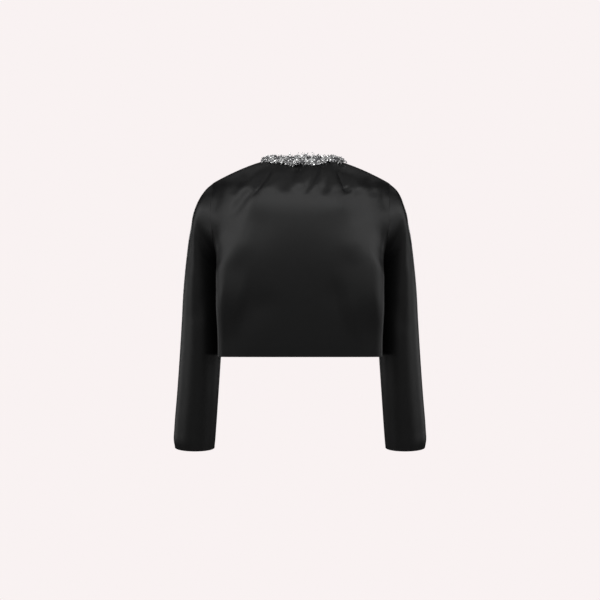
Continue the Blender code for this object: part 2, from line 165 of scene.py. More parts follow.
# Sleeve sections below the armhole. Each is an oval through an outer and an inner point; a bow
# pushes its back or front outwards and drop lowers its back.
SleeveRow = namedtuple(
    "SleeveRow",
    "outer_x outer_y outer_z inner_x inner_y inner_z half_depth back_bow front_bow drop",
)
SLEEVE_ROWS = (
    SleeveRow(0.2150, -0.002, -0.0590, 0.1630, 0.020, -0.2340, 0.0620, 0.028, 0.008, 0.000),
    SleeveRow(0.2335, -0.002, -0.0970, 0.1650, 0.026, -0.2435, 0.0615, 0.026, 0.008, 0.000),
    SleeveRow(0.2455, 0.000, -0.1460, 0.1665, 0.028, -0.2565, 0.0610, 0.019, 0.006, 0.000),
    SleeveRow(0.2540, 0.002, -0.2060, 0.1685, 0.029, -0.2765, 0.0590, 0.012, 0.004, 0.000),
    SleeveRow(0.2613, 0.005, -0.2760, 0.1713, 0.026, -0.3100, 0.0560, 0.006, 0.002, 0.001),
    SleeveRow(0.2657, 0.008, -0.3500, 0.1751, 0.021, -0.3640, 0.0520, 0.001, 0.000, 0.002),
    SleeveRow(0.2707, 0.012, -0.4275, 0.1795, 0.018, -0.4315, 0.0490, 0.000, 0.000, 0.003),
    SleeveRow(0.2770, 0.015, -0.5135, 0.1849, 0.015, -0.5145, 0.0450, 0.000, 0.000, 0.004),
    SleeveRow(0.2835, 0.016, -0.5942, 0.1904, 0.016, -0.5942, 0.0420, 0.000, 0.000, 0.004),
    SleeveRow(0.2846, 0.016, -0.6206, 0.1925, 0.016, -0.6216, 0.0410, 0.000, 0.000, 0.004),
    SleeveRow(0.2818, 0.016, -0.6367, 0.1941, 0.016, -0.6380, 0.0400, 0.000, 0.000, 0.004),
)

# Creases, from one end to the other, as seen from outside: across the panel and up, in metres.
# bow moves the middle sideways, width is across it, and depth is below the cloth, or above it
# where negative. A dart has a sharp bottom. Each sets in over FADE of its length, half of that before
# and half past each end. The back's also fade towards its side and shoulder seams, over the last
# SEAM_FADE behind y = 0.
Crease = namedtuple("Crease", "x0 z0 x1 z1 bow width depth dart", defaults=(False,))
DART_SHARPNESS = 1.5
FADE = 0.45
SEAM_FADE = 0.05
BACK_CREASES = (
    Crease(-0.067, -0.026, -0.099, -0.073, 0.001, 0.009, 0.0030, True),
    Crease(0.080, -0.026, 0.095, -0.065, 0.001, 0.009, 0.0032, True),
    Crease(0.097, -0.056, 0.103, -0.070, 0.0, 0.014, 0.0022),
    Crease(-0.086, -0.010, -0.121, -0.066, 0.002, 0.026, -0.0036),
    Crease(-0.052, -0.020, -0.080, -0.066, 0.002, 0.028, -0.0026),
    Crease(0.020, -0.004, -0.012, -0.058, 0.002, 0.032, -0.0042),
    Crease(0.052, -0.010, 0.030, -0.062, 0.001, 0.018, -0.0026),
    Crease(0.064, -0.014, 0.076, -0.060, 0.0, 0.020, -0.0024),
    Crease(0.112, -0.020, 0.126, -0.068, 0.0, 0.030, -0.0034),
    Crease(-0.128, -0.026, -0.148, -0.068, 0.0, 0.022, 0.0020),
    Crease(-0.088, -0.034, -0.142, -0.112, 0.0, 0.024, 0.0032),
    Crease(-0.004, -0.008, -0.038, -0.060, 0.002, 0.024, 0.0026),
    Crease(0.038, -0.014, 0.012, -0.066, 0.001, 0.015, 0.0024),
    Crease(0.066, -0.014, 0.052, -0.069, 0.0, 0.019, 0.0032),
    Crease(0.090, -0.030, 0.101, -0.068, 0.0, 0.018, 0.0026),
    Crease(0.148, -0.034, 0.162, -0.074, 0.0, 0.024, 0.0020),
    Crease(-0.092, -0.055, -0.140, -0.210, 0.006, 0.050, -0.0042),
    Crease(0.088, -0.078, 0.114, -0.205, -0.003, 0.056, -0.0026),
    Crease(-0.178, -0.045, -0.188, -0.106, 0.0, 0.022, 0.0016),
    Crease(0.180, -0.047, 0.189, -0.104, 0.0, 0.022, 0.0016),
    Crease(-0.178, -0.292, -0.122, -0.304, 0.0, 0.100, -0.0042),
    Crease(0.096, -0.318, 0.178, -0.300, 0.0, 0.120, -0.0056),
    Crease(-0.160, -0.410, -0.070, -0.300, 0.010, 0.060, 0.0018),
    Crease(0.164, -0.400, 0.080, -0.280, -0.012, 0.066, 0.0016),
)
FRONT_CREASES = {
    LEFT: (
        Crease(0.150, -0.090, 0.104, -0.190, 0.006, 0.030, 0.0018),
        Crease(0.060, -0.070, 0.066, -0.140, 0.0, 0.030, 0.0010),
        Crease(0.120, -0.330, 0.112, -0.420, 0.0, 0.040, 0.0012),
    ),
    RIGHT: (
        Crease(0.146, -0.084, 0.098, -0.172, 0.008, 0.028, 0.0020),
        Crease(0.070, -0.076, 0.074, -0.150, 0.0, 0.034, 0.0009),
        Crease(0.104, -0.300, 0.100, -0.410, 0.0, 0.044, 0.0010),
    ),
}

# Sleeve creases run in metres round the sleeve from its outer line, backwards, and up. SLEEVE_RADIUS
# turns angles round it into metres.
SLEEVE_RADIUS = 0.047
SLEEVE_CREASES = {
    LEFT: (
        Crease(0.086, -0.290, 0.056, -0.350, 0.004, 0.040, 0.0008),
        Crease(-0.072, -0.318, -0.040, -0.352, 0.0, 0.028, 0.0016),
        Crease(0.020, -0.130, 0.048, -0.235, 0.004, 0.034, 0.0014),
    ),
    RIGHT: (
        Crease(0.088, -0.304, 0.060, -0.368, 0.004, 0.038, 0.0008),
        Crease(-0.070, -0.330, -0.036, -0.372, 0.0, 0.030, 0.0016),
        Crease(0.018, -0.125, 0.050, -0.225, 0.004, 0.034, 0.0016),
    ),
}

# Neck trim: a rope lying on the outside of the neck edge and above it, covered with crystals.
# TRIM_FLAT flattens it against the cloth, and TRIM_SINK lowers it at the sides of the neck. Behind,
# it hangs lower at some clusters, each given by its x and how far it drops, and they set in over
# BEHIND_REACH behind y = 0. The last one trails down the right shoulder.
TRIM_WIDTH = 0.0260
TRIM_THICK = 0.0120
TRIM_FLAT = 0.5
TRIM_CLEARANCE = 0.0009
TRIM_RISE = 0.0030
TRIM_SINK = 0.0045
TRIM_CLUSTERS = ((-0.0225, 0.0055), (0.0290, 0.0070), (0.0780, 0.0120))
CLUSTER_REACH = 0.009
BEHIND_REACH = 0.016
TRIM_STATIONS = 190
CORE_SIDES = 16
CORE_SHARE = 0.80

# Crystals on the rope. A turn is the angle round it, 0 above and a quarter turn outside. A share is
# how far out from its middle they sit, and a rise how far off that place. By chance, a stray moves a
# piece along its row or ring, as a part of the gap there, a spread tilts it, and a turn's spread
# moves it round the rope. A size is a radius, or one for each axis; long and wide are measured
# whole. Pairs are the least and the most.
# Flowers of petals lie in rows, each row with its turn and how many flowers it has. A petal's
# flatness is its thickness over its width, its lift how steeply it rises, and its reach how far out
# its middle lies, in half lengths.
FLOWER_ROWS = ((0.5, 30), (1.1, 30), (1.7, 32), (2.3, 34), (2.9, 38), (3.3, 32))
FLOWER_SHARE = 0.80
FLOWER_STRAY = 0.4
FLOWER_SPREAD = 0.22
FLOWER_TURN_SPREAD = 0.22
HEART_SIZE = (0.0016, 0.0024)
HEART_RISE = 0.0016
PETALS = 5
PETAL_LONG = (0.0054, 0.0090)
PETAL_WIDE = (0.0030, 0.0044)
PETAL_FLATNESS = 0.6
PETAL_LIFT = 0.40
PETAL_STRAY = 0.25
PETAL_SPREAD = 0.18
PETAL_REACH = 1.2
EDGE_STONES = 380
EDGE_STONE_TURN = (0.9, 3.3)
EDGE_STONE_SHARE = 1.15
EDGE_STONE_SPREAD = 0.25
EDGE_STONE_SIZE = (0.0014, 0.0028)
SMALL_BEADS = 420
SMALL_BEAD_TURN = (-0.6, 3.6)
SMALL_BEAD_SHARE = 0.85
SMALL_BEAD_RISE = (0.0, 0.0022)
SMALL_BEAD_SIZE = (0.0007, 0.0012)
STALKS = 80
STALK_TURN = 0.25
STALK_TURN_SPREAD = 0.35
STALK_SHARE = 0.9
STALK_SPREAD = 0.35
STALK_LONG = (0.0040, 0.0085)
STALK_SIZE = 0.00022
STALK_TIP_SIZE = (0.0007, 0.0012)
HANGING_X = (-0.0320, -0.0244, -0.0169, 0.0248, 0.0298, 0.0336)
HANGING_SHARE = 0.98
HANGING_RISE = 0.0020
HANGING_SIZE = (0.0014, 0.0014, 0.0022)

# A cut stone of radius 1, with a flat table on its top and a point below, and a bead of radius 1
STONE_SIDES = 8
TABLE_RADIUS = 0.58
TABLE_HEIGHT = 0.42
POINT_DEPTH = 0.75
BEAD_SIDES = 6
BEAD_LEVELS = 4

# Satin: threads half a millimetre apart, slubs drawn out along them, the range of its gloss and
# colour, and how strongly it shines
THREAD_SCALE = 628.0
THREAD_HEIGHT = 0.00003
SLUB_SCALE = (900.0, 45.0, 1.0)
LUSTRE_SCALE = 14.0
SATIN_ROUGHNESS = (0.40, 0.47)
SATIN_COLOURS = ((0.0024, 0.0024, 0.0025, 1.0), (0.0042, 0.0042, 0.0044, 1.0))
SATIN_SHINE = 0.29

# The trim's colours, from dark to light
FOILED_TONES = ((0.10, 0.10, 0.11, 1.0), (1.0, 1.0, 0.99, 1.0))
PETAL_TONES = ((0.20, 0.20, 0.21, 1.0), (1.0, 1.0, 0.99, 1.0))
CORD_COLOURS = ((0.03, 0.03, 0.032, 1.0), (0.22, 0.22, 0.23, 1.0))
CORD_SCALE = 900.0

# MIRROR turns the right half into the left, and SEED settles all that goes by chance.
MIRROR = np.array((-1.0, 1.0, 1.0))
SEED = 7

# Each edge of a grid of points, with the row or column next to it
EDGES = {
    "first_column": (np.s_[:, 0], np.s_[:, 1]),
    "last_column": (np.s_[:, -1], np.s_[:, -2]),
    "first_row": (np.s_[0], np.s_[1]),
    "last_row": (np.s_[-1], np.s_[-2]),
}


def unit(vectors):
    """The vectors at length 1."""
    return vectors / np.linalg.norm(vectors, axis=-1, keepdims=True)


def smooth_step(t):
    """Eases from 0 to 1 as t goes from 0 to 1, and stays there on either side."""
    t = np.clip(t, 0.0, 1.0)
    return t * t * (3 - 2 * t)


def resample(points, count):
    """The polyline again, with count points evenly spaced along its first three columns."""
    points = np.asarray(points, float)
    steps = np.linalg.norm(np.diff(points[:, :3], axis=0), axis=1)
    along = np.concatenate([[0.0], np.cumsum(steps)])
    at = np.linspace(0, along[-1], count)
    return np.stack([np.interp(at, along, column) for column in points.T], axis=1)


def bezier(start, start_pull, end_pull, end, count, firm=1.0):
    """count points along a cubic curve, evenly spaced by length. firm draws it to its handles."""
    start, end = np.array(start, float), np.array(end, float)
    points = (start, start + start_pull, end + end_pull, end)
    t = np.linspace(0, 1, CURVE_SAMPLES)[:, None]
    shares = ((1 - t) ** 3, 3 * firm * t * (1 - t) ** 2, 3 * firm * t**2 * (1 - t), t**3)
    curve = sum(share * point for share, point in zip(shares, points)) / sum(shares)
    return resample(curve, count)


def knots_along(rows):
    """How far each row is from the first, as the mean over its points."""
    steps = np.linalg.norm(np.diff(rows, axis=0), axis=2).mean(axis=1)
    return np.concatenate([[0.0], np.cumsum(steps)])


def loft(rows, knots, steps, arrive, leave):
    """A smooth grid through rows of points, with the slopes at which it meets and leaves each."""
    grid = [rows[0]]
    for i, count in enumerate(steps):
        gap = knots[i + 1] - knots[i]
        for t in np.linspace(0, 1, count + 1)[1:]:
            grid.append(
                rows[i] * (2 * t**3 - 3 * t**2 + 1)
                + leave[i] * gap * (t**3 - 2 * t**2 + t)
                + rows[i + 1] * (3 * t**2 - 2 * t**3)
                + arrive[i + 1] * gap * (t**3 - t**2)
            )
    return np.array(grid)


def normals(grid, ring=False):
    """Unit normals of a grid of points, by the right-hand rule from its columns to its rows."""
    if ring:
        across = np.roll(grid, -1, axis=1) - np.roll(grid, 1, axis=1)
    else:
        across = np.gradient(grid, axis=1)
    return unit(np.cross(across, np.gradient(grid, axis=0)))


def body_section(row):
    """One half section of the body, from the centre line out to the side seam or armhole."""
    mid = (0.0, row.mid_y, row.mid_z)
    edge = (row.edge_x, row.edge_y, row.edge_z)
    edge_pull = (row.pull_x, row.pull_y, row.pull_z)
    return bezier(mid, (row.reach, 0.0, 0.0), edge_pull, edge, HALF_COLUMNS + 1, row.firm)


def top_section(neck_mid, reach, side_pull):
    """The neck edge from the centre line to the side of the neck, then the shoulder seam."""
    side_handle = NECK_SIDE_WAY * side_pull
    neck = bezier(neck_mid, (reach, 0.0, 0.0), side_handle, NECK_SIDE, NECK_COLUMNS + 1)
    count = HALF_COLUMNS - NECK_COLUMNS + 1
    shoulder = bezier(NECK_SIDE, SHOULDER_PULL_NECK, SHOULDER_PULL_TIP, SHOULDER_TIP, count)
    return np.concatenate([neck, shoulder[1:]])


def top_outward(top, middle_out, forward):
    """The cloth's outward normals along the neck edge and the shoulder seam.

    forward is 1 where the neck edge runs forwards to the side of the neck, and -1 where backwards.
    """
    neck, shoulder = top[: NECK_COLUMNS + 1], top[NECK_COLUMNS:]
    tangent = unit(np.gradient(neck, axis=0))
    tangent[0], tangent[-1] = (1.0, 0.0, 0.0), NECK_SIDE_WAY * forward
    side_out = unit(np.cross(SHOULDER_PULL_NECK, NECK_SIDE_WAY))
    turn = smooth_step(np.linspace(0, 1, NECK_COLUMNS + 1))[:, None]
    neck_out = np.array(middle_out) * (1 - turn) + side_out * turn
    neck_out = unit(neck_out - tangent * (neck_out * tangent).sum(axis=1, keepdims=True))
    shoulder_out = unit(np.cross(np.gradient(shoulder, axis=0), SHOULDER_WAY))
    return np.concatenate([neck_out, shoulder_out[1:]])


def top_slope(below, top, top_out):
    """Which way the cloth runs as it reaches each point of the top section."""
    rise = top - below
    level = rise - top_out * (rise * top_out).sum(axis=1, keepdims=True)
    return unit(level) * np.linalg.norm(rise, axis=1, keepdims=True) * TOP_ROLL


def half_panel(rows, knots, sweep, top_out):
    """A half panel through its rows, with a corner where the side seam becomes the armhole."""
    leave = np.gradient(rows, knots, axis=0)
    leave[-1] = top_slope(rows[-2], rows[-1], top_out) / (knots[-1] - knots[-2])
    arrive = leave.copy()
    column = np.arange(HALF_COLUMNS + 1) - HALF_COLUMNS
    corner = smooth_step(1 + column / CORNER_COLUMNS)[:, None]
    under = UNDERARM_ROW
    below = (rows[under] - rows[under - 1]) / (knots[under] - knots[under - 1])
    arrive[under] += (below - arrive[under]) * corner
    leave[under] += (np.array(sweep) - leave[under]) * corner
    return loft(rows, knots, BODY_STEPS, arrive, leave)


def eased(grid):
    """Evens a half panel up and down, away from its edges."""
    share = smooth_step((HALF_COLUMNS - np.arange(HALF_COLUMNS + 1)) / EASE_COLUMNS)[:, None]
    for _ in range(EASE_PASSES):
        between = (grid[:-2] + grid[2:]) / 2
        grid[1:-1] += (between - grid[1:-1]) * share / 2
    return grid


def half_body():
    """The right half of the back and the right front, from the centre line out, with normals."""
    back = [body_section(row) for row in BACK_ROWS]
    back.append(top_section(NECK_BACK, NECK_BACK_REACH, -NECK_SIDE_PULL_BACK))
    front = [body_section(row) for row in FRONT_ROWS]
    front.append(top_section(NECK_FRONT, NECK_FRONT_REACH, NECK_SIDE_PULL_FRONT))
    back, front = np.array(back), np.array(front)
    knots = knots_along(back)
    back_top = top_outward(back[-1], NECK_BACK_OUT, 1.0)
    front_top = top_outward(front[-1], NECK_FRONT_OUT, -1.0)
    back = eased(half_panel(back, knots, UNDERARM_SWEEP_BACK, back_top))
    front = eased(half_panel(front, knots, UNDERARM_SWEEP_FRONT, front_top))
    out_back, out_front = normals(back), -normals(front)
    out_back[-1], out_front[-1] = back_top, front_top
    side = np.s_[: sum(BODY_STEPS[:UNDERARM_ROW]) + 1, -1]
    out_back[side] = out_front[side] = unit(out_back[side] + out_front[side])
    return back, front, out_back, out_front


def crease_push(across, up, creases):
    """How far creases move the cloth outwards, at places given across the panel and up it."""
    push = np.zeros(across.shape)
    for crease in creases:
        line_x, line_z = crease.x1 - crease.x0, crease.z1 - crease.z0
        length = math.hypot(line_x, line_z)
        along = ((across - crease.x0) * line_x + (up - crease.z0) * line_z) / length**2
        aside = ((up - crease.z0) * line_x - (across - crease.x0) * line_z) / length
        aside = np.abs(aside - crease.bow * 4 * along * (1 - along)) * 2 / crease.width
        profile = np.exp(-aside * DART_SHARPNESS) if crease.dart else np.exp(-(aside**2))
        fade = smooth_step(along / FADE + 0.5) * smooth_step((1 - along) / FADE + 0.5)
        push -= crease.depth * fade * profile
    return push[..., None]


def trimmed(grid, insets):
    """Draws the named edges of a grid back along the cloth."""
    grid = grid.copy()
    for name, inset in insets.items():
        edge, inner = EDGES[name]
        grid[edge] += unit(grid[inner] - grid[edge]) * inset
    return grid


def leaned(points):
    """The shoulders hang a little to the wearer's right of the hem."""
    lean = smooth_step((points[..., 2] - LEAN_FROM_Z) / (LEAN_TO_Z - LEAN_FROM_Z))
    return points + lean[..., None] * (SHOULDER_LEAN, 0.0, 0.0)


def add_object(name, points, faces, material, smooth=True):
    """A mesh of points and faces in the scene; smooth rounds its shading between sharp edges."""
    mesh = bpy.data.meshes.new(name)
    mesh.from_pydata(np.asarray(points).tolist(), [], [list(face) for face in faces])
    mesh.materials.append(material)
    if smooth:
        mesh.shade_smooth()
        mesh.set_sharp_from_angle(angle=SHARP_TURN)
    obj = bpy.data.objects.new(name, mesh)
    bpy.context.scene.collection.objects.link(obj)
    return obj


def grid_squares(rows, columns, ring):
    """The squares of a grid of points; a ring joins its last column to its first."""
    row, column = np.indices((rows - 1, columns if ring else columns - 1))
    after = (column + 1) % columns
    here, above = row * columns, (row + 1) * columns
    corners = [here + column, here + after, above + after, above + column]
    return np.stack(corners).reshape(4, -1).T


def edge_loops(rows, columns, ring):
    """The open edges of a grid as closed loops of (row, column), cloth on their left."""
    across, up = list(range(columns)), list(range(rows))
    if ring:
        first = [(0, column) for column in across]
        last = [(rows - 1, column) for column in reversed(across)]
        return [first, last]
    bottom = [(0, column) for column in across[:-1]]
    right = [(row, columns - 1) for row in up[:-1]]
    top = [(rows - 1, column) for column in across[:0:-1]]
    left = [(row, 0) for row in up[:0:-1]]
    return [bottom + right + top + left]


def edge_away(grid, ring):
    """At each point of a grid's open edges, the way that leads off the cloth."""
    away = np.zeros_like(grid)
    for name, (edge, inner) in EDGES.items():
        if not ring or name.endswith("row"):
            away[edge] += unit(grid[edge] - grid[inner])
    return away


def cloth(name, grid, out, material, ring=False):
    """A thin shell of cloth with rounded edges."""
    grid = leaned(grid)
    rows, columns = grid.shape[:2]
    count = rows * columns
    squares = grid_squares(rows, columns, ring)
    points = [(grid + out * WALL / 2).reshape(-1, 3), (grid - out * WALL / 2).reshape(-1, 3)]
    faces = [squares, squares[:, ::-1] + count]
    rim = grid + edge_away(grid, ring) * RIM_BULGE
    placed = 2 * count
    for loop in edge_loops(rows, columns, ring):
        at = np.array([row * columns + column for row, column in loop])
        middle = placed + np.arange(len(loop))
        points.append(rim.reshape(-1, 3)[at])
        placed += len(loop)
        for near, far in ((at, middle), (middle, at + count)):
            faces.append(np.stack([np.roll(near, -1), near, far, np.roll(far, -1)], axis=1))
    obj = add_object(name, np.concatenate(points), np.concatenate(faces), material)
    add_grain(obj, grid, squares, columns)
    return obj


def add_grain(obj, grid, squares, columns):
    """A map of the cloth in metres, across and along its grain, for the weave."""
    across = np.linalg.norm(np.diff(grid, axis=1), axis=2).mean()
    along = knots_along(grid)
    row, column = np.divmod(squares[:, 0], columns)
    corner_rows = np.stack([row, row, row + 1, row + 1], axis=1)
    corner_columns = np.stack([column, column + 1, column + 1, column], axis=1)
    outer = np.stack([corner_columns * across, along[corner_rows]], axis=2)
    mapped = np.zeros((len(obj.data.loops), 2), np.float32)
    mapped[: outer.shape[0] * 4] = outer.reshape(-1, 2)
    mapped[outer.shape[0] * 4 : outer.shape[0] * 8] = outer[:, ::-1].reshape(-1, 2)
    layer = obj.data.uv_layers.new(name="grain")
    layer.data.foreach_set("uv", mapped.ravel())


def make_back(half, half_out, material):
    """The back, from its right half and the mirror of that."""
    grid = np.concatenate([(half * MIRROR)[:, :0:-1], half], axis=1)
    out = np.concatenate([(half_out * MIRROR)[:, :0:-1], half_out], axis=1)
    push = crease_push(grid[..., 0], grid[..., 2], BACK_CREASES)
    grid = grid + out * push * smooth_step(-grid[..., 1:2] / SEAM_FADE)
    seam = SEAM_GAP / 2
    grid = trimmed(grid, {"first_column": seam, "last_column": seam, "last_row": seam})
    return cloth("back_shell", grid, out, material)


def make_front(name, side, half, half_out, material):
    """One front, from the half panel, which is the right one."""
    seam = SEAM_GAP / 2
    insets = {"first_column": FRONT_EDGE_GAP / 2, "last_column": seam, "last_row": seam}
    grid = half + half_out * crease_push(half[..., 0], half[..., 2], FRONT_CREASES[side])
    grid, out = trimmed(grid, insets), half_out
    if side == RIGHT:
        grid, out = grid[:, ::-1], out[:, ::-1]
    else:
        grid, out = grid * MIRROR, out * MIRROR
    return cloth(f"front_{name}_shell", grid, out, material)


def armhole(back, front, out_back, out_front):
    """The right armhole as a loop of points and body normals: down the back, then up the front."""
    edge = np.s_[sum(BODY_STEPS[:UNDERARM_ROW]) :, -1]
    count = SLEEVE_COLUMNS // 2 + 1
    down_back = np.concatenate([back[edge], out_back[edge]], axis=1)[::-1]
    up_front = np.concatenate([front[edge], out_front[edge]], axis=1)
    loop = np.concatenate([resample(down_back, count)[:-1], resample(up_front, count)[:-1]])
    return loop[:, :3], unit(loop[:, 3:])


def sleeve_section(row):
    """An oval ring of points, from the outer side round the back, the inside and the front."""
    turn = np.arange(SLEEVE_COLUMNS) * 2 * math.pi / SLEEVE_COLUMNS
    outer = np.array((row.outer_x, row.outer_y, row.outer_z))
    inner = np.array((row.inner_x, row.inner_y, row.inner_z))
    backward = np.sin(turn)
    ring = (outer + inner) / 2 + np.cos(turn)[:, None] * (outer - inner) / 2
    ring[:, 0] += np.where(backward > 0, row.back_bow, row.front_bow) * backward**2
    ring[:, 1] -= row.half_depth * backward
    ring[:, 2] -= row.drop * backward
    return ring


def clear_of_body(loop, out, towards):
    """Moves the sleeve's first ring off the body's edge, more where the sleeve turns back on it."""
    tangent = unit(np.roll(loop, -1, axis=0) - np.roll(loop, 1, axis=0))
    straight_on = unit(np.cross(out, tangent))
    ahead = unit(towards - loop)
    turned = 1 - (straight_on * ahead).sum(axis=1, keepdims=True)
    return loop + ahead * ARMHOLE_GAP + out * turned * (WALL + ARMHOLE_GAP) / 2


def make_sleeve(name, side, loop, out, material):
    """One sleeve, from the right armhole to the cuff, mirrored for the left."""
    rings = [sleeve_section(row) for row in SLEEVE_ROWS]
    rings = np.array([clear_of_body(loop, out, rings[0])] + rings)
    knots = knots_along(rings)
    slope = np.gradient(rings, knots, axis=0)
    grid = loft(rings, knots, (SLEEVE_STEPS,) * len(SLEEVE_ROWS), slope, slope)
    turn = (np.arange(SLEEVE_COLUMNS) / SLEEVE_COLUMNS + 0.5) % 1.0 - 0.5
    around = np.broadcast_to(turn * 2 * math.pi * SLEEVE_RADIUS, grid.shape[:2])
    grid = grid + normals(grid, ring=True) * crease_push(around, grid[..., 2], SLEEVE_CREASES[side])
    if side == LEFT:
        grid = (grid * MIRROR)[:, ::-1]
    out = normals(grid, ring=True)
    return cloth(f"sleeve_{name}_shell", grid, out, material, ring=True)


def neck_edge(back, front, out_back, out_front):
    """Points and outward normals along the whole neck edge, from one front edge to the other."""
    neck = np.s_[-1, : NECK_COLUMNS + 1]
    behind = np.concatenate([back[neck], out_back[neck]], axis=1)
    ahead = np.concatenate([front[neck], out_front[neck]], axis=1)
    right = np.concatenate([behind, ahead[-2::-1]])
    left = right[:0:-1] * np.concatenate([MIRROR, MIRROR])
    edge = resample(np.concatenate([left, right]), TRIM_STATIONS)
    return edge[:, :3], unit(edge[:, 3:])


class Trim:
    """The trim's rope, as places on it: how far along its length and which way round it."""

    def __init__(self, points, out):
        self.along = unit(np.gradient(points, axis=0))
        self.out = out
        self.above = unit(np.cross(out, self.along))
        aside = smooth_step(np.abs(points[:, :1]) / NECK_SIDE[0])
        lift = WALL / 2 + TRIM_CLEARANCE + TRIM_THICK * TRIM_FLAT / 2 - TRIM_SINK * aside
        self.centre = leaned(points) + out * lift + self.above * TRIM_RISE
        behind = smooth_step(-points[:, 1] / BEHIND_REACH)
        self.drop = np.zeros(len(points))
        for x, depth in TRIM_CLUSTERS:
            self.drop += depth * behind * np.exp(-(((points[:, 0] - x) / CLUSTER_REACH) ** 2))

    def read(self, values, station):
        """Values given at each station, at any place between stations."""
        at = np.arange(len(values))
        values = values.reshape(len(values), -1)
        return np.stack([np.interp(station, at, column) for column in values.T], axis=-1)

    def place(self, station, turn, share=1.0):
        """Points on the rope, with their outward ways; turn is 0 above and a quarter outside."""
        above, out = self.read(self.above, station), self.read(self.out, station)
        drop = self.read(self.drop, station)[..., 0]
        across = np.cos(turn) * TRIM_WIDTH / 2 + np.minimum(np.cos(turn), 0.0) * drop
        outwards = np.sin(turn).clip(-TRIM_FLAT) * TRIM_THICK / 2
        point = self.read(self.centre, station)
        point = point + share * (above * across[..., None] + out * outwards[..., None])
        facing = above * np.cos(turn)[..., None] * TRIM_THICK
        facing = facing + out * np.sin(turn)[..., None] * TRIM_WIDTH
        return point, unit(facing)


def make_core(trim, material):
    """The cord that carries the crystals, closed at both ends."""
    station, turn = np.meshgrid(
        np.arange(TRIM_STATIONS, dtype=float),
        np.linspace(0, 2 * math.pi, CORE_SIDES, endpoint=False),
        indexing="ij",
    )
    points = trim.place(station.ravel(), turn.ravel(), CORE_SHARE)[0]
    faces = grid_squares(TRIM_STATIONS, CORE_SIDES, ring=True).tolist()
    faces.append(list(range(CORE_SIDES - 1, -1, -1)))
    last = (TRIM_STATIONS - 1) * CORE_SIDES
    faces.append(list(range(last, last + CORE_SIDES)))
    return add_object("trim_core", points, faces, material)


def circle(radius, height, turn):
    """Points of a level circle about Z, at the given turns."""
    level = np.full(len(turn), height)
    return np.stack([radius * np.cos(turn), radius * np.sin(turn), level], axis=1)


def brilliant():
    """A cut stone of radius 1 facing +Z: an octagonal table, a crown of triangles and a point."""
    sides = STONE_SIDES
    turn = np.arange(sides) * 2 * math.pi / sides
    table = circle(TABLE_RADIUS, TABLE_HEIGHT, turn + math.pi / sides)
    points = np.concatenate([table, circle(1.0, 0.0, turn), [(0.0, 0.0, -POINT_DEPTH)]])
    faces = [list(range(sides))]
    for side in range(sides):
        after = (side + 1) % sides
        faces.append([side, sides + side, sides + after])
        faces.append([side, sides + after, after])
        faces.append([2 * sides, sides + after, sides + side])
    return points, faces


def bead():
    """A faceted bead of radius 1, with its poles on Z."""
    sides, levels = BEAD_SIDES, BEAD_LEVELS
    rings = [[(0.0, 0.0, 1.0)]]
    for level in range(1, levels):
        tilt = math.pi * level / levels
        turn = 2 * math.pi * (np.arange(sides) + 0.5 * (level % 2)) / sides
        rings.append(circle(math.sin(tilt), math.cos(tilt), turn))
    rings.append([(0.0, 0.0, -1.0)])
    points = np.concatenate(rings)
    faces = []
    last = len(points) - 1
    for side in range(sides):
        after = (side + 1) % sides
        faces.append([0, 1 + side, 1 + after])
        for level in range(levels - 2):
            upper, lower = 1 + level * sides, 1 + (level + 1) * sides
            faces.append([upper + side, lower + side, lower + after, upper + after])
        faces.append([last, last - sides + after, last - sides + side])
    return points, faces


def frames(facing, spin):
    """Axes for each piece, as columns: its third axis faces the given way, turned by spin."""
    nearly_upright = 0.9
    helper = np.where(np.abs(facing[:, 2:]) < nearly_upright, (0.0, 0.0, 1.0), (1.0, 0.0, 0.0))
    side = unit(np.cross(helper, facing))
    other = np.cross(facing, side)
    cosine, sine = np.cos(spin)[:, None], np.sin(spin)[:, None]
    return np.stack([side * cosine + other * sine, other * cosine - side * sine, facing], axis=2)


class Crystals:
    """Places for many copies of one shape, each with the way it faces and its half sizes."""

    def __init__(self, name, template, rng):
        self.name, self.template, self.rng = name, template, rng
        self.places, self.ways, self.sizes = [], [], []

    def add(self, places, ways, sizes):
        """Copies at these places; sizes can be given once for all of them."""
        self.places.append(places)
        self.ways.append(ways)
        self.sizes.append(np.broadcast_to(sizes, places.shape))

    def between(self, low_high, count):
        """Values drawn by chance between two limits."""
        return self.rng.uniform(*low_high, count)

    def make(self, material):
        """All the copies as one mesh, each turned about its way and toned by chance."""
        points, faces = self.template
        places, sizes = np.concatenate(self.places), np.concatenate(self.sizes)
        count = len(places)
        axes = frames(np.concatenate(self.ways), self.between((0, 2 * math.pi), count))
        placed = np.einsum("mij,mnj->mni", axes, points[None] * sizes[:, None, :]) + places[:, None]
        joined = [
            [copy * len(points) + corner for corner in face]
            for copy in range(count)
            for face in faces
        ]
        obj = add_object(self.name, placed.reshape(-1, 3), joined, material, smooth=False)
        tone = obj.data.attributes.new("tone", "FLOAT", "FACE")
        tones = np.repeat(self.rng.random(count), len(faces))
        tone.data.foreach_set("value", tones.astype(np.float32))
        return obj


def jittered(ways, spread, rng):
    """Directions turned away from the given ones by chance."""
    return unit(ways + rng.normal(0.0, spread, ways.shape))


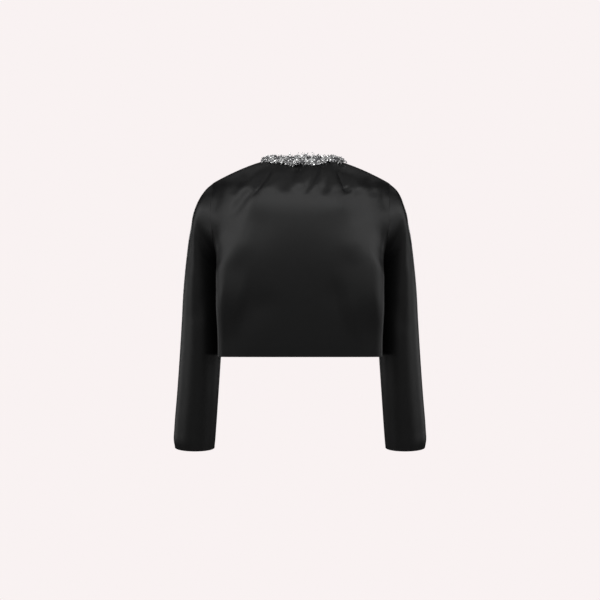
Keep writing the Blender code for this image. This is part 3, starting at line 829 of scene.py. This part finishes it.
def add_flowers(trim, petals, stones, rng):
    """Clusters in uneven rows round the rope: petals spread about a stone at the heart."""
    for row_turn, count in FLOWER_ROWS:
        gap = (TRIM_STATIONS - 1) / count
        stray = rng.uniform(-FLOWER_STRAY, FLOWER_STRAY, count)
        station = (np.arange(count) + 0.5) * gap + stray * gap
        turn = row_turn + rng.normal(0.0, FLOWER_TURN_SPREAD, count)
        heart, facing = trim.place(station, turn, FLOWER_SHARE)
        facing = jittered(facing, FLOWER_SPREAD, rng)
        size = stones.between(HEART_SIZE, count)[:, None]
        stones.add(heart + facing * HEART_RISE, facing, size)
        axes = frames(facing, rng.uniform(0, 2 * math.pi, count))
        for petal in range(PETALS):
            stray = rng.uniform(-PETAL_STRAY, PETAL_STRAY, count)[:, None]
            around = 2 * math.pi * (petal + stray) / PETALS
            flat_way = axes[:, :, 0] * np.cos(around) + axes[:, :, 1] * np.sin(around)
            way = jittered(flat_way + facing * PETAL_LIFT, PETAL_SPREAD, rng)
            half_long = petals.between(PETAL_LONG, count) / 2
            half_wide = petals.between(PETAL_WIDE, count) / 2
            sizes = np.stack([half_wide, half_wide * PETAL_FLATNESS, half_long], axis=1)
            petals.add(heart + way * half_long[:, None] * PETAL_REACH, way, sizes)


def add_edge_stones(trim, stones, rng):
    """Stones crowded over the outside of the rope and along its lower edge."""
    station = rng.uniform(0, TRIM_STATIONS - 1, EDGE_STONES)
    turn = stones.between(EDGE_STONE_TURN, EDGE_STONES)
    place, facing = trim.place(station, turn, EDGE_STONE_SHARE)
    way = jittered(facing, EDGE_STONE_SPREAD, rng)
    stones.add(place, way, stones.between(EDGE_STONE_SIZE, EDGE_STONES)[:, None])


def add_small_beads(trim, beads, rng):
    """Little beads in the gaps between the flowers."""
    station = rng.uniform(0, TRIM_STATIONS - 1, SMALL_BEADS)
    turn = beads.between(SMALL_BEAD_TURN, SMALL_BEADS)
    place, facing = trim.place(station, turn, SMALL_BEAD_SHARE)
    place = place + facing * beads.between(SMALL_BEAD_RISE, SMALL_BEADS)[:, None]
    beads.add(place, facing, beads.between(SMALL_BEAD_SIZE, SMALL_BEADS)[:, None])


def add_stalks(trim, beads, rng):
    """Fine stalks that stand up along the top, each with a bead at its tip."""
    station = rng.uniform(0, TRIM_STATIONS - 1, STALKS)
    turn = rng.normal(STALK_TURN, STALK_TURN_SPREAD, STALKS)
    root, facing = trim.place(station, turn, STALK_SHARE)
    way = jittered(facing, STALK_SPREAD, rng)
    half_long = beads.between(STALK_LONG, STALKS)[:, None] / 2
    thick = np.full((STALKS, 2), STALK_SIZE)
    beads.add(root + way * half_long, way, np.concatenate([thick, half_long], axis=1))
    beads.add(root + way * half_long * 2, way, beads.between(STALK_TIP_SIZE, STALKS)[:, None])


def add_hanging(trim, beads):
    """Drops that hang from the two clusters in the middle of the back."""
    behind = trim.centre[:, 1] < NECK_SIDE[1]
    stations = np.interp(HANGING_X, trim.centre[behind, 0], np.flatnonzero(behind))
    place = trim.place(stations, np.full(len(stations), math.pi), HANGING_SHARE)[0]
    down = np.tile((0.0, 0.0, -1.0), (len(stations), 1))
    beads.add(place + trim.read(trim.out, stations) * HANGING_RISE, down, HANGING_SIZE)


def make_trim(trim):
    """The rope and its crystals: petals, foiled stones and little beads."""
    rng = np.random.default_rng(SEED)
    petals = Crystals("trim_petals", bead(), rng)
    stones = Crystals("trim_stones", brilliant(), rng)
    beads = Crystals("trim_beads", bead(), rng)
    add_flowers(trim, petals, stones, rng)
    add_edge_stones(trim, stones, rng)
    add_small_beads(trim, beads, rng)
    add_stalks(trim, beads, rng)
    add_hanging(trim, beads)
    foiled = make_foiled_material()
    pieces = [make_core(trim, make_cord_material()), petals.make(make_petal_material())]
    return pieces + [stones.make(foiled), beads.make(foiled)]


def new_material(name, inputs):
    """A material with the given inputs of its shader, its nodes, their links and the shader."""
    material = bpy.data.materials.new(name)
    material.use_nodes = True
    nodes = material.node_tree.nodes
    shader = nodes["Principled BSDF"]
    for socket, value in inputs.items():
        shader.inputs[socket].default_value = value
    return material, nodes, material.node_tree.links, shader


def node(nodes, kind, **settings):
    """A new node with its settings and, by name, the values of its inputs."""
    made = nodes.new(kind)
    for name, value in settings.items():
        if hasattr(made, name):
            setattr(made, name, value)
        else:
            made.inputs[name].default_value = value
    return made


def colour_ramp(nodes, colours):
    """A ramp from the first colour to the second."""
    ramp = node(nodes, "ShaderNodeValToRGB")
    for element, colour in zip(ramp.color_ramp.elements, colours):
        element.color = colour
    return ramp


def make_satin():
    """Black satin: fine warp threads, slubs along them and a soft, slightly uneven lustre."""
    inputs = {"Specular IOR Level": SATIN_SHINE}
    material, nodes, links, shader = new_material("black_satin", inputs)
    grain = node(nodes, "ShaderNodeUVMap", uv_map="grain")
    along = node(nodes, "ShaderNodeMapping", Scale=SLUB_SCALE)
    threads = node(nodes, "ShaderNodeTexWave", Scale=THREAD_SCALE, Distortion=0.6, Detail=1.0)
    slubs = node(nodes, "ShaderNodeTexNoise", Scale=1.0, Detail=3.0)
    height = node(nodes, "ShaderNodeMath", operation="ADD")
    bump = node(nodes, "ShaderNodeBump", Strength=0.4, Distance=THREAD_HEIGHT)
    lustre = node(nodes, "ShaderNodeTexNoise", Scale=LUSTRE_SCALE, Detail=2.0)
    rough = node(nodes, "ShaderNodeMapRange")
    rough.inputs["To Min"].default_value, rough.inputs["To Max"].default_value = SATIN_ROUGHNESS
    tint = colour_ramp(nodes, SATIN_COLOURS)
    for texture in (threads, lustre):
        links.new(grain.outputs["UV"], texture.inputs["Vector"])
    links.new(grain.outputs["UV"], along.inputs["Vector"])
    links.new(along.outputs["Vector"], slubs.inputs["Vector"])
    links.new(threads.outputs["Fac"], height.inputs[0])
    links.new(slubs.outputs["Fac"], height.inputs[1])
    links.new(height.outputs["Value"], bump.inputs["Height"])
    links.new(bump.outputs["Normal"], shader.inputs["Normal"])
    links.new(lustre.outputs["Fac"], rough.inputs["Value"])
    links.new(rough.outputs["Result"], shader.inputs["Roughness"])
    links.new(slubs.outputs["Fac"], tint.inputs["Fac"])
    links.new(tint.outputs["Color"], shader.inputs["Base Color"])
    return material


def make_crystal_material(name, inputs, tones):
    """A material that colours each crystal by its own tone, from dark to light."""
    material, nodes, links, shader = new_material(name, inputs)
    tone = node(nodes, "ShaderNodeAttribute", attribute_name="tone")
    ramp = colour_ramp(nodes, tones)
    links.new(tone.outputs["Fac"], ramp.inputs["Fac"])
    links.new(ramp.outputs["Color"], shader.inputs["Base Color"])
    return material


def make_foiled_material():
    """Cut stones and beads with silver foil behind them."""
    inputs = {"Metallic": 0.9, "Roughness": 0.16}
    return make_crystal_material("foiled_crystal", inputs, FOILED_TONES)


def make_petal_material():
    """Silvered glass petals, through which some light comes."""
    inputs = {"Metallic": 0.6, "Roughness": 0.09, "IOR": 1.9, "Transmission Weight": 0.25}
    return make_crystal_material("clear_crystal", inputs, PETAL_TONES)


def make_cord_material():
    """Dark silver thread, finely mottled."""
    inputs = {"Metallic": 0.3, "Roughness": 0.4}
    material, nodes, links, shader = new_material("trim_cord", inputs)
    place = node(nodes, "ShaderNodeTexCoord")
    mottle = node(nodes, "ShaderNodeTexNoise", Scale=CORD_SCALE, Detail=2.0)
    ramp = colour_ramp(nodes, CORD_COLOURS)
    links.new(place.outputs["Object"], mottle.inputs["Vector"])
    links.new(mottle.outputs["Fac"], ramp.inputs["Fac"])
    links.new(ramp.outputs["Color"], shader.inputs["Base Color"])
    return material


def make_camera():
    """A level camera behind the jacket, whose lens follows from how much it sees across."""
    data = bpy.data.cameras.new("camera")
    data.sensor_width = SENSOR_WIDTH_MM
    data.lens = SENSOR_WIDTH_MM * CAMERA_DISTANCE / VIEW_WIDTH
    camera = bpy.data.objects.new("camera", data)
    camera.location = (0.0, -CAMERA_DISTANCE, CAMERA_HEIGHT)
    camera.rotation_euler = (math.radians(90), 0.0, 0.0)
    bpy.context.scene.collection.objects.link(camera)
    bpy.context.scene.camera = camera


def make_softbox(box):
    """A rectangular light at its bearing and height, facing the jacket."""
    data = bpy.data.lights.new(box.name, "AREA")
    data.shape = "RECTANGLE"
    data.size, data.size_y = box.across, box.up
    data.energy = box.power
    light = bpy.data.objects.new(box.name, data)
    bearing, height = math.radians(box.bearing), math.radians(box.height)
    way = Vector((
        math.sin(bearing) * math.cos(height),
        -math.cos(bearing) * math.cos(height),
        math.sin(height),
    ))
    light.location = AIM + way * box.distance
    light.rotation_euler = way.to_track_quat("Z", "Y").to_euler()
    bpy.context.scene.collection.objects.link(light)


def make_world():
    """The pale backdrop, straight on and through glass, and a dim even room for the light."""
    world = bpy.data.worlds.new("studio")
    world.use_nodes = True
    nodes, links = world.node_tree.nodes, world.node_tree.links
    room = nodes["Background"]
    room.inputs["Color"].default_value = ROOM_COLOUR
    room.inputs["Strength"].default_value = ROOM_LIGHT
    backdrop = node(nodes, "ShaderNodeBackground", Color=BACKDROP)
    path = node(nodes, "ShaderNodeLightPath")
    seen = node(nodes, "ShaderNodeMath", operation="MAXIMUM")
    mix = node(nodes, "ShaderNodeMixShader")
    links.new(path.outputs["Is Camera Ray"], seen.inputs[0])
    links.new(path.outputs["Is Transmission Ray"], seen.inputs[1])
    links.new(seen.outputs["Value"], mix.inputs["Fac"])
    links.new(room.outputs["Background"], mix.inputs[1])
    links.new(backdrop.outputs["Background"], mix.inputs[2])
    links.new(mix.outputs["Shader"], nodes["World Output"].inputs["Surface"])
    bpy.context.scene.world = world


def make_floor():
    """A pale floor well below the hem. It glows a little, but lights no cloth."""
    rim = circle(FLOOR_RADIUS, FLOOR_Z, np.linspace(0, 2 * math.pi, FLOOR_SIDES, endpoint=False))
    inputs = {
        "Base Color": BACKDROP,
        "Emission Color": BACKDROP,
        "Emission Strength": FLOOR_GLOW,
    }
    material = new_material("pale_floor", inputs)[0]
    floor = add_object("floor", rim, [range(FLOOR_SIDES)], material, smooth=False)
    floor.visible_diffuse = False
    floor.visible_glossy = False


def make_jacket():
    """The cloth shells and the trim's pieces, each standing for its node of the solids."""
    satin = make_satin()
    back, front, out_back, out_front = half_body()
    loop, loop_out = armhole(back, front, out_back, out_front)
    shells = {"back": make_back(back, out_back, satin)}
    for name, side in (("left", LEFT), ("right", RIGHT)):
        shells[f"front_{name}"] = make_front(name, side, front, out_front, satin)
        shells[f"sleeve_{name}"] = make_sleeve(name, side, loop, loop_out, satin)
    for replaced, shell in shells.items():
        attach(shell, "root")
        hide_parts(replaced)
    for piece in make_trim(Trim(*neck_edge(back, front, out_back, out_front))):
        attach(piece, "root")
        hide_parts("neck_trim")


bpy.context.scene.view_settings.view_transform = "Standard"
make_camera()
make_world()
make_floor()
for softbox in SOFTBOXES:
    make_softbox(softbox)
make_jacket()
